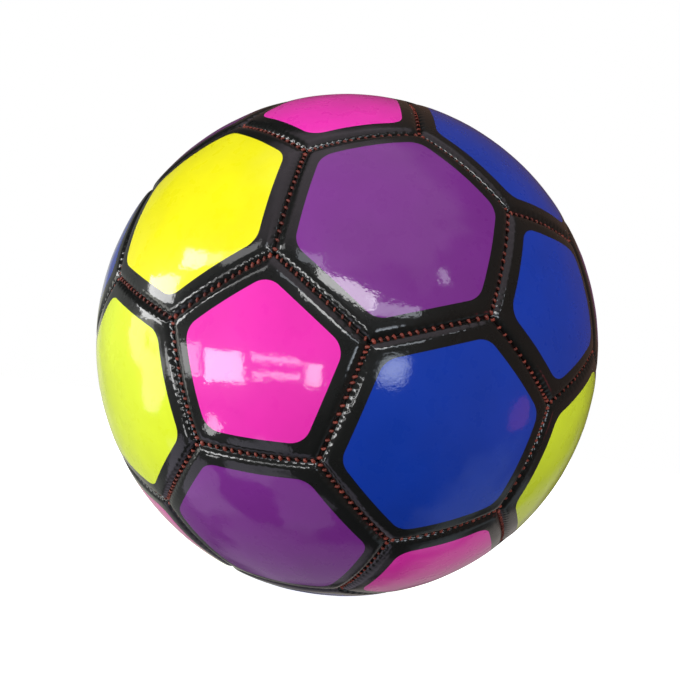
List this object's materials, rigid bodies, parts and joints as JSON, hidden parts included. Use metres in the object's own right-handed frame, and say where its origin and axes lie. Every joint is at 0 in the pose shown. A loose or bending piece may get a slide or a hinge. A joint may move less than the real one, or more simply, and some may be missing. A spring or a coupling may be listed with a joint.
{
  "type": "soccer ball",
  "caption": "Round stitched soccer ball: bright hexagon and pentagon panels with black borders over foam, lining and an air bladder, with a push-in inflation valve.",
  "frame": {"origin": "centre of the ball", "axes": "+Z out through the inflation valve, -Y towards the upper pentagon panel beside it"},
  "size_m": [0.22, 0.22, 0.2199],
  "materials": {
    "pink_pvc": "glossy printed PVC, hot pink with a black border",
    "blue_pvc": "glossy printed PVC, royal blue with a black border",
    "purple_pvc": "glossy printed PVC, purple with a black border",
    "yellow_pvc": "glossy printed PVC, yellow with a black border",
    "lime_pvc": "glossy printed PVC, lime with a black border",
    "foam": "closed-cell foam",
    "woven_lining": "woven polyester and cotton backing",
    "seam_thread": "waxed dark red polyester thread",
    "bladder_rubber": "matte black butyl rubber",
    "valve_rubber": "satin black rubber"
  },
  "bodies": {
    "ball": {"pentagon_panel_01": "pink_pvc", "pentagon_panel_02": "pink_pvc", "pentagon_panel_03": "pink_pvc", "pentagon_panel_04": "blue_pvc", "pentagon_panel_05": "pink_pvc", "pentagon_panel_06": "blue_pvc", "pentagon_panel_07": "pink_pvc", "pentagon_panel_08": "pink_pvc", "pentagon_panel_09": "blue_pvc", "pentagon_panel_10": "pink_pvc", "pentagon_panel_11": "pink_pvc", "pentagon_panel_12": "pink_pvc", "valve_panel": "yellow_pvc", "hexagon_panel_01": "blue_pvc", "hexagon_panel_02": "lime_pvc", "hexagon_panel_03": "purple_pvc", "hexagon_panel_04": "purple_pvc", "hexagon_panel_05": "purple_pvc", "hexagon_panel_06": "purple_pvc", "hexagon_panel_07": "blue_pvc", "hexagon_panel_08": "lime_pvc", "hexagon_panel_09": "yellow_pvc", "hexagon_panel_10": "blue_pvc", "hexagon_panel_11": "lime_pvc", "hexagon_panel_12": "blue_pvc", "hexagon_panel_13": "yellow_pvc", "hexagon_panel_14": "purple_pvc", "hexagon_panel_15": "lime_pvc", "hexagon_panel_16": "purple_pvc", "hexagon_panel_17": "yellow_pvc", "hexagon_panel_18": "lime_pvc", "hexagon_panel_19": "blue_pvc", "pentagon_foams": "foam", "hexagon_foams": "foam", "pentagon_linings": "woven_lining", "hexagon_linings": "woven_lining", "pentagon_seam_threads": "seam_thread", "hexagon_seam_threads": "seam_thread", "bladder": "bladder_rubber", "valve_patch": "woven_lining", "valve_housing": "valve_rubber"},
    "valve_core": {"valve_core": "valve_rubber"}
  },
  "joints": [
    {"name": "valve_core_pull", "type": "slide", "parent": "ball", "child": "valve_core", "axis": [0, 0, 1], "range_m": [0, 0.02]}
  ]
}
